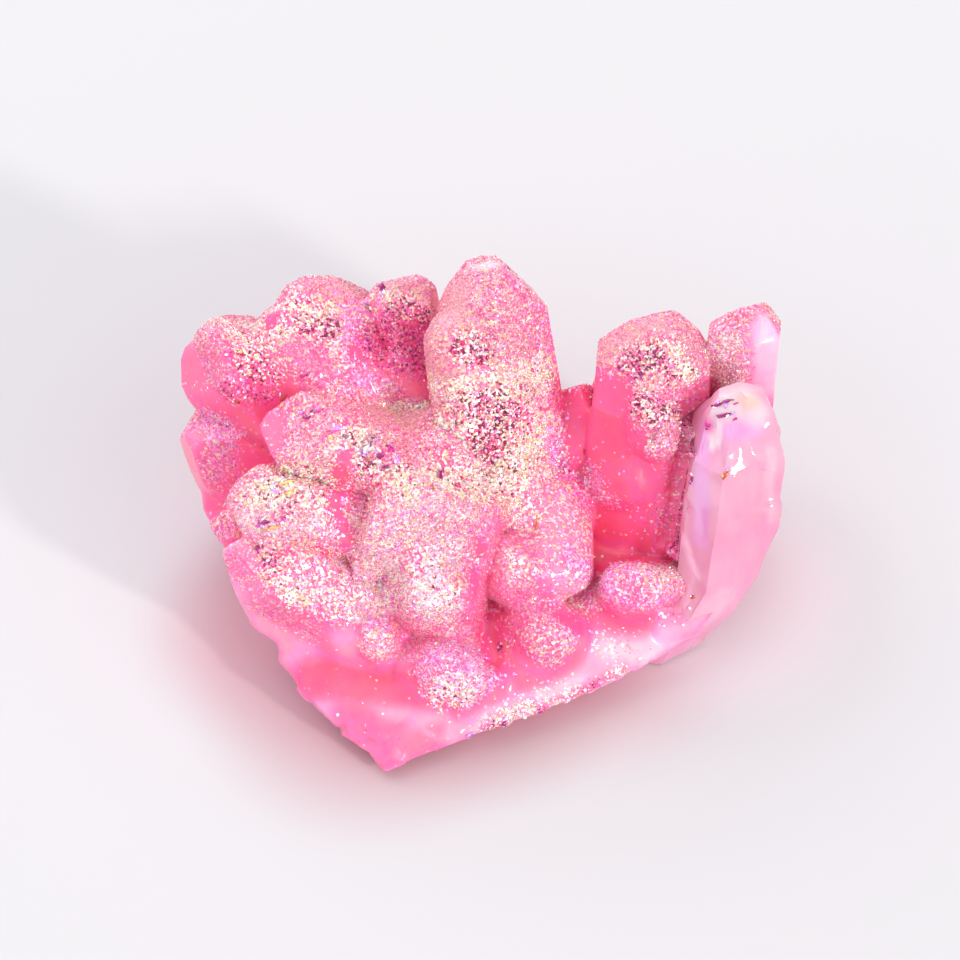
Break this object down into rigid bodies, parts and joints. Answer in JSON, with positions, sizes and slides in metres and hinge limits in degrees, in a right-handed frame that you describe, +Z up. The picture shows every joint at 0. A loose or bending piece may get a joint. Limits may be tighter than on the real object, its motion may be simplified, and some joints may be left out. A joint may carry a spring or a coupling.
{
  "type": "rose aura quartz cluster",
  "caption": "Cluster of stubby pink coated quartz crystals grown together on a broken matrix plate, cut flat underneath to rest on a table.",
  "frame": {"origin": "under the middle of the cluster, on the surface that it rests on", "axes": "+Z up, +X along the longest extent, towards the glassy crystals; the broken corner of the plate points towards -Y"},
  "size_m": [0.0602, 0.0488, 0.0334],
  "materials": {
    "aura_quartz": "translucent rose quartz with an iridescent vapour coating, glittering druse on the upper faces and satin sides"
  },
  "bodies": {
    "root": {"quartz_cluster": "aura_quartz"}
  },
  "joints": []
}
